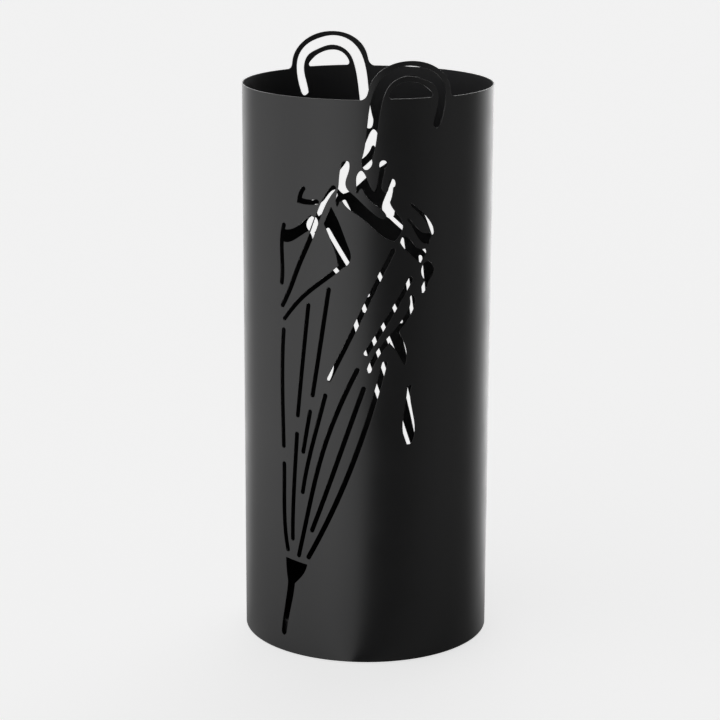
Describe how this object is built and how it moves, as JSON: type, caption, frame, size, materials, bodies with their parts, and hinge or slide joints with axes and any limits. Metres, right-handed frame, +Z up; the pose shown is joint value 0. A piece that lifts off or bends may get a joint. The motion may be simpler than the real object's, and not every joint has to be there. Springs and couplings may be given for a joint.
{
  "type": "umbrella stand",
  "caption": "Tall open cylinder of laser-cut sheet steel with a furled umbrella motif, crook loops above the rim and a lift-out drip tray.",
  "frame": {"origin": "centre of the footprint, on the floor", "axes": "+Z up along the cylinder's axis, -Y is the front with the umbrella motif, +X the side with the welded seam"},
  "size_m": [0.2, 0.2, 0.4826],
  "materials": {
    "powder_coated_steel": "satin black powder coat on sheet steel",
    "coated_pan": "satin black powder coat",
    "coated_weld": "powder-coated weld bead",
    "pad_rubber": "matt black rubber",
    "adhesive_foam": "double-sided adhesive",
    "tray_plastic": "fine-textured black moulded plastic"
  },
  "bodies": {
    "stand": {"shell": "powder_coated_steel", "seam_weld": "coated_weld", "base_pan": "coated_pan", "base_tack_welds": "coated_weld", "foot_pad_1": "pad_rubber", "foot_pad_2": "pad_rubber", "foot_pad_3": "pad_rubber", "foot_pad_4": "pad_rubber", "foot_adhesive_1": "adhesive_foam", "foot_adhesive_2": "adhesive_foam", "foot_adhesive_3": "adhesive_foam", "foot_adhesive_4": "adhesive_foam"},
    "tray": {"drip_tray": "tray_plastic"}
  },
  "joints": [
    {"name": "tray_lift", "type": "slide", "parent": "stand", "child": "tray", "axis": [0, 0, 1], "range_m": [0, 0.485]}
  ]
}
